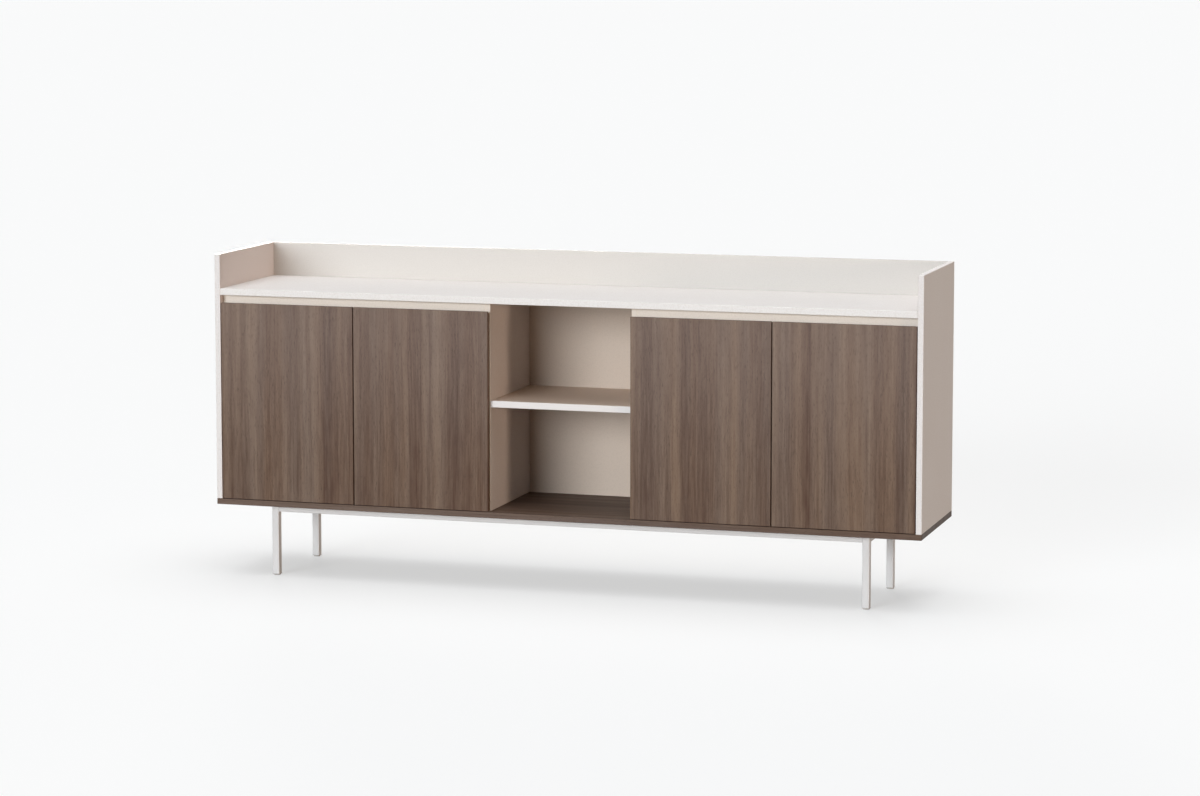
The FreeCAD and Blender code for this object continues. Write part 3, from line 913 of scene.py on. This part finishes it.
@dataclass
class CupHinges:
    """The eight concealed hinges: cups, links, arms, plates, pins and screws. Sizes are in millimetres."""

    wing_screw: ScrewHead
    arm_screw: ScrewHead
    plate_thick: float = 2.0
    plate_line: float = 9.0
    plate_screw_rise: float = 16.0
    flange_thick: float = 1.0
    cup_screw_rise: float = 26.0
    cup_screw_setback: float = 28.0
    arm_height: float = 17.0
    arm_screws_from_tail: Vec2 = (8.0, 24.0)
    pin_ease: float = 0.25
    round_steps: int = 20

    def turn_pins(self, node: str, name: str) -> None:
        """Stand round pins in for a node's faceted ones.

        Args:
            node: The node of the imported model.
            name: The new piece's name.
        """
        parts = []
        for low, high in solids_of(node):
            pin = rounded_rod((high.x - low.x) / 2, high.z - low.z, self.pin_ease * MM, self.round_steps)
            foot = Vector(((low.x + high.x) / 2, (low.y + high.y) / 2, low.z))
            parts.append((pin, facing(foot, (0, 0, 1))))
        pins = make_piece(name, frame["nodes"][node]["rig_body"], ZINC, gather(parts))
        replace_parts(pins, node)

    def plate_screws(self, door: str, way: int) -> list[Placed]:
        """Place the two wing screws of each mounting plate of a door.

        Args:
            door: The door's name.
            way: 1 where the hinges stand on the door's left edge, -1 on its right.

        Returns:
            The screw heads with their places.
        """
        parts = []
        for low, high in solids_of("hinge_plates_" + door):
            face = low.x if way > 0 else high.x
            middle = (low.z + high.z) / 2
            for side in (-1, 1):
                seat = Vector((face + way * self.plate_thick * MM, low.y + self.plate_line * MM,
                               middle + side * self.plate_screw_rise * MM))
                parts.append((self.wing_screw.shape(), facing(seat, (way, 0, 0))))
        return parts

    def arm_screws(self, door: str, way: int) -> list[Placed]:
        """Place the fixing and the adjusting screw of each arm of a door.

        Args:
            door: The door's name.
            way: 1 where the hinges stand on the door's left edge, -1 on its right.

        Returns:
            The screw heads with their places.
        """
        parts = []
        for (low, high), plate in zip(solids_of("hinge_arms_" + door), solids_of("hinge_plates_" + door)):
            face = plate[0].x if way > 0 else plate[1].x
            for back in self.arm_screws_from_tail:
                seat = Vector((face + way * self.arm_height * MM, high.y - back * MM, (low.z + high.z) / 2))
                parts.append((self.arm_screw.shape(), facing(seat, (way, 0, 0))))
        return parts

    def cup_screws(self, door: str, way: int) -> list[Placed]:
        """Place the two screws of each cup's flange.

        Args:
            door: The door's name.
            way: 1 where the hinges stand on the door's left edge, -1 on its right.

        Returns:
            The screw heads with their places.
        """
        panel_low, panel_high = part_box("door_" + door)
        edge = panel_low.x if way > 0 else panel_high.x
        parts = []
        for low, high in solids_of("hinge_cups_" + door):
            middle = (low.z + high.z) / 2
            for side in (-1, 1):
                seat = Vector((edge + way * self.cup_screw_setback * MM,
                               panel_high.y + self.flange_thick * MM,
                               middle + side * self.cup_screw_rise * MM))
                parts.append((self.wing_screw.shape(), facing(seat, (0, 1, 0))))
        return parts

    def build(self) -> None:
        """Make every hinge's pieces, door by door."""
        for door, way in DOOR_WAYS.items():
            for kind in ("cups_", "links_", "arms_"):
                smooth_copy("hinge_" + kind + door, kind + door, NICKEL)
            dress("hinge_plates_" + door, NICKEL)
            self.turn_pins("cup_pins_" + door, "cup_pins_turned_" + door)
            fixed = gather(self.plate_screws(door, way) + self.arm_screws(door, way))
            make_piece("hinge_screws_" + door, "cabinet", ZINC, fixed)
            swinging = gather(self.cup_screws(door, way))
            make_piece("cup_screws_" + door, "doorset_" + door, ZINC, swinging)
        self.turn_pins("arm_pins", "arm_pins_turned")


@dataclass
class Underframe:
    """The square-tube frame with its feet and fixing screws. Sizes are in millimetres."""

    rail_screw: ScrewHead
    screws_per_rail: int = 4
    screw_end_inset: float = 120.0
    tube_corner: float = 1.5
    corner_steps: int = 3
    corner_slack: float = 0.01
    foot_ease: float = 0.8
    foot_disc: float = 2.5
    foot_stem_radius: float = 4.0
    round_steps: int = 32

    def round_tube(self, node: str) -> None:
        """Stand a tube with rolled corners in for a node's sharp-edged one.

        Args:
            node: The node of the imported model.
        """
        low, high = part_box(node)
        spans = [high[axis] - low[axis] for axis in range(3)]
        along = spans.index(max(spans))
        across = [axis for axis in range(3) if axis != along]
        work = merged_copy(node)
        corners = []
        for edge in work.edges:
            start, end = (vert.co for vert in edge.verts)
            runs_along = abs(start[along] - end[along]) > spans[along] / 2
            at_corner = all(min(point[axis] - low[axis], high[axis] - point[axis]) < self.corner_slack * MM
                            for point in (start, end) for axis in across)
            if runs_along and at_corner:
                corners.append(edge)
        bmesh.ops.bevel(work, geom=corners, offset=self.tube_corner * MM, offset_type="OFFSET",
                        affect="EDGES", segments=self.corner_steps, profile=0.5, material=-1)
        soften(work)
        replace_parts(make_piece(node + "_tube", "cabinet", FRAME_COAT, work), node)

    def roll_tubes(self) -> None:
        """Make the legs and rails, and give the plugs in their feet a finish."""
        for side in ("front", "rear"):
            self.round_tube("rail_" + side)
            for end in ("left", "right"):
                self.round_tube("leg_" + side + "_" + end)
        for end in ("left", "right"):
            self.round_tube("rail_" + end)
        dress("leg_inserts", FOOT_NYLON)

    def turn_glides(self) -> None:
        """Make the four levelling glides: an eased disc and its stem."""
        parts = []
        ease, disc, stem = self.foot_ease * MM, self.foot_disc * MM, self.foot_stem_radius * MM
        for low, high in solids_of("leg_glides"):
            radius = (high.x - low.x) / 2
            top = high.z - low.z
            profile = [(0.0, 0.0), (radius - ease, 0.0), (radius, ease), (radius, disc - ease),
                       (radius - ease, disc), (stem, disc), (stem, top), (0.0, top)]
            foot = Vector(((low.x + high.x) / 2, (low.y + high.y) / 2, low.z))
            parts.append((turned(profile, self.round_steps), Matrix.Translation(foot)))
        glides = make_piece("glides_turned", "cabinet", FOOT_NYLON, gather(parts))
        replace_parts(glides, "leg_glides")

    def add_screws(self) -> None:
        """Add the screws that go up through the long rails into the bottom board."""
        parts = []
        inset = self.screw_end_inset * MM
        for rail in ("rail_front", "rail_rear"):
            low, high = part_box(rail)
            step = (high.x - low.x - 2 * inset) / (self.screws_per_rail - 1)
            for index in range(self.screws_per_rail):
                seat = Vector((low.x + inset + index * step, (low.y + high.y) / 2, low.z))
                parts.append((self.rail_screw.shape(), facing(seat, (0, 0, -1))))
        make_piece("rail_screws", "cabinet", ZINC, gather(parts))

    def build(self) -> None:
        """Make the tubes, the feet and the screws."""
        self.roll_tubes()
        self.turn_glides()
        self.add_screws()


@dataclass
class Lamp:
    """A broad far lamp. Angles are in degrees, the azimuth to the left of the doors' own front."""

    name: str
    azimuth: float
    elevation: float
    width: float
    level: float
    colour: str

    def hang(self) -> None:
        """Add the lamp; at a level of 1, a white face square to it renders white."""
        data = bpy.data.lights.new(self.name, "SUN")
        data.energy = self.level * math.pi
        data.angle = math.radians(self.width)
        data.color = linear(self.colour)[:3]
        lamp = bpy.data.objects.new(self.name, data)
        lamp.rotation_euler = (math.radians(90 - self.elevation), 0.0, math.radians(-self.azimuth))
        bpy.context.scene.collection.objects.link(lamp)


@dataclass
class Studio:
    """The pale floor, the soft light and the camera. Lengths are in metres, angles in degrees."""

    lamps: tuple[Lamp, ...]
    focal_px: float = 3473.3
    yaw: float = 17.080
    pitch: float = 6.149
    shift_px: float = -100.0
    eye: Vec3 = (2.8342, -9.0415, 1.8097)
    sight: Vec2 = (0.1, 1000.0)
    floor_half: float = 400.0
    floor_bounce: str = "#6E6054"
    floor_glow: float = 0.52
    floor_shade: str = "#B1B1AF"
    zenith: str = "#FAFBFF"
    zenith_level: float = 2.9
    horizon: str = "#FFFBF6"
    horizon_level: float = 0.03
    # How far up the surround turns from horizon to zenith, as the sine of the elevation.
    sky_range: Vec2 = (0.72, 0.98)
    background_level: float = 0.95

    def build_camera(self) -> None:
        """Set the camera where the photograph was taken from."""
        data = bpy.data.cameras.new("camera")
        data.sensor_width = SENSOR_MM
        data.lens = self.focal_px * SENSOR_MM / PHOTO_WIDTH_PX
        data.shift_y = self.shift_px / PHOTO_WIDTH_PX
        data.clip_start, data.clip_end = self.sight
        camera = bpy.data.objects.new("camera", data)
        camera.location = self.eye
        camera.rotation_euler = (math.radians(90 - self.pitch), 0.0, math.radians(self.yaw))
        bpy.context.scene.collection.objects.link(camera)
        bpy.context.scene.camera = camera

    def seen_directly(self, tree: bpy.types.NodeTree) -> bpy.types.NodeSocket:
        """Tell a surface that is looked at from one that only bounces light.

        Args:
            tree: The node tree of the floor's material or of the world.

        Returns:
            1 where the camera, a reflection or a clear piece sees the surface, and 0 for bounced light.
        """
        path = add_node(tree, "ShaderNodeLightPath").outputs
        seen = path["Is Camera Ray"]
        for kind in ("Is Glossy Ray", "Is Transmission Ray"):
            seen = add_node(tree, "ShaderNodeMath", {0: seen, 1: path[kind]}, operation="MAXIMUM").outputs[0]
        return seen

    def build_floor(self) -> None:
        """Lay the wide pale floor, which shows a soft shadow and bounces a warm light."""
        work = bmesh.new()
        bmesh.ops.create_grid(work, x_segments=1, y_segments=1, size=self.floor_half)
        mesh = bpy.data.meshes.new("floor")
        work.to_mesh(mesh)
        work.free()
        floor = bpy.data.objects.new("floor", mesh)
        bpy.context.scene.collection.objects.link(floor)
        material = bpy.data.materials.new("floor_paint")
        material.use_nodes = True
        tree = material.node_tree
        tree.nodes.clear()
        glow = add_node(tree, "ShaderNodeEmission", {"Color": linear(WHITE), "Strength": self.floor_glow})
        shade = add_node(tree, "ShaderNodeBsdfDiffuse", {"Color": linear(self.floor_shade)})
        shown = add_node(tree, "ShaderNodeAddShader", {0: glow.outputs[0], 1: shade.outputs[0]})
        bounce = add_node(tree, "ShaderNodeBsdfDiffuse", {"Color": linear(self.floor_bounce)})
        mixed = add_node(tree, "ShaderNodeMixShader",
                         {0: self.seen_directly(tree), 1: bounce.outputs[0], 2: shown.outputs[0]})
        add_node(tree, "ShaderNodeOutputMaterial", {"Surface": mixed.outputs[0]})
        mesh.materials.append(material)

    def build_light(self) -> None:
        """Hang the lamps in a surround that is brightest overhead."""
        for lamp in self.lamps:
            lamp.hang()
        world = bpy.data.worlds.new("surround")
        bpy.context.scene.world = world
        world.use_nodes = True
        tree = world.node_tree
        tree.nodes.clear()
        way = add_node(tree, "ShaderNodeTexCoord").outputs["Generated"]
        rise = add_node(tree, "ShaderNodeSeparateXYZ", {0: way}).outputs["Z"]
        start, end = self.sky_range
        blend = add_node(tree, "ShaderNodeMapRange", {"Value": rise, "From Min": start, "From Max": end},
                         interpolation_type="SMOOTHSTEP")
        low = add_node(tree, "ShaderNodeBackground",
                       {"Color": linear(self.horizon), "Strength": self.horizon_level})
        high = add_node(tree, "ShaderNodeBackground",
                        {"Color": linear(self.zenith), "Strength": self.zenith_level})
        sky = add_node(tree, "ShaderNodeMixShader",
                       {0: blend.outputs[0], 1: low.outputs[0], 2: high.outputs[0]})
        plain = add_node(tree, "ShaderNodeBackground",
                         {"Color": linear(WHITE), "Strength": self.background_level})
        mixed = add_node(tree, "ShaderNodeMixShader",
                         {0: self.seen_directly(tree), 1: sky.outputs[0], 2: plain.outputs[0]})
        add_node(tree, "ShaderNodeOutputWorld", {"Surface": mixed.outputs[0]})

    def build(self) -> None:
        """Set up the studio."""
        self.build_camera()
        self.build_floor()
        self.build_light()
        bpy.context.scene.view_settings.view_transform = "Standard"
        log.info("studio ready")


def main() -> None:
    """Build every sub-assembly in order and report each."""
    logging.basicConfig(level=logging.INFO, format="%(name)s: %(message)s")
    wing_screw = ScrewHead(radius=3.4, height=1.8, recess_reach=1.7, recess_half=0.35, recess_depth=0.9)
    arm_screw = ScrewHead(radius=3.0, height=1.4, recess_reach=1.7, recess_half=0.4, recess_depth=0.8)
    rail_screw = ScrewHead(radius=5.5, height=1.0, recess_reach=2.8, recess_half=0.6, recess_depth=0.8)
    Carcass().build()
    Doors().build()
    CupHinges(wing_screw, arm_screw).build()
    Underframe(rail_screw).build()
    lamps = (Lamp("key", azimuth=17.0, elevation=7.0, width=32.0, level=1.08, colour="#F0F8FF"),
             Lamp("fill", azimuth=-67.0, elevation=2.0, width=8.0, level=0.33, colour="#FFE8D3"),
             Lamp("back", azimuth=155.0, elevation=4.0, width=16.0, level=0.78, colour="#FFFAF4"))
    Studio(lamps).build()


if __name__ == "__main__":
    main()
